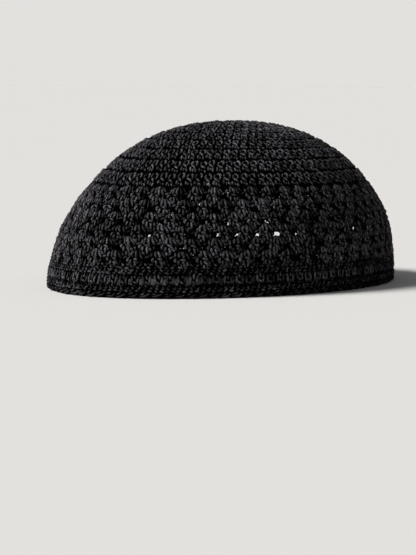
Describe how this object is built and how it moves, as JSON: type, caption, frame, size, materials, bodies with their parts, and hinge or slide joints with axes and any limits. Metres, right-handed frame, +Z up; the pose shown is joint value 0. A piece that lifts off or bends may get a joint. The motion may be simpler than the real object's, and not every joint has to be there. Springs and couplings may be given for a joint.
{
  "type": "kufi cap",
  "caption": "Round brimless crocheted cap: a dense ribbed dome, an openwork band and a close rim, open underneath for the head.",
  "frame": {"origin": "middle of the rim, on the surface that the cap stands on", "axes": "+Z up through the crown, -Y the front of the head, +X the wearer's left"},
  "size_m": [0.1548, 0.206, 0.0815],
  "materials": {
    "crown_yarn": "matte black cotton, double crochet in rounds",
    "lace_yarn": "matte black cotton, open clusters",
    "rim_yarn": "matte black cotton, single crochet with a row of slits"
  },
  "bodies": {
    "root": {"crown": "crown_yarn", "lace_band": "lace_yarn", "rim_band": "rim_yarn"}
  },
  "joints": []
}
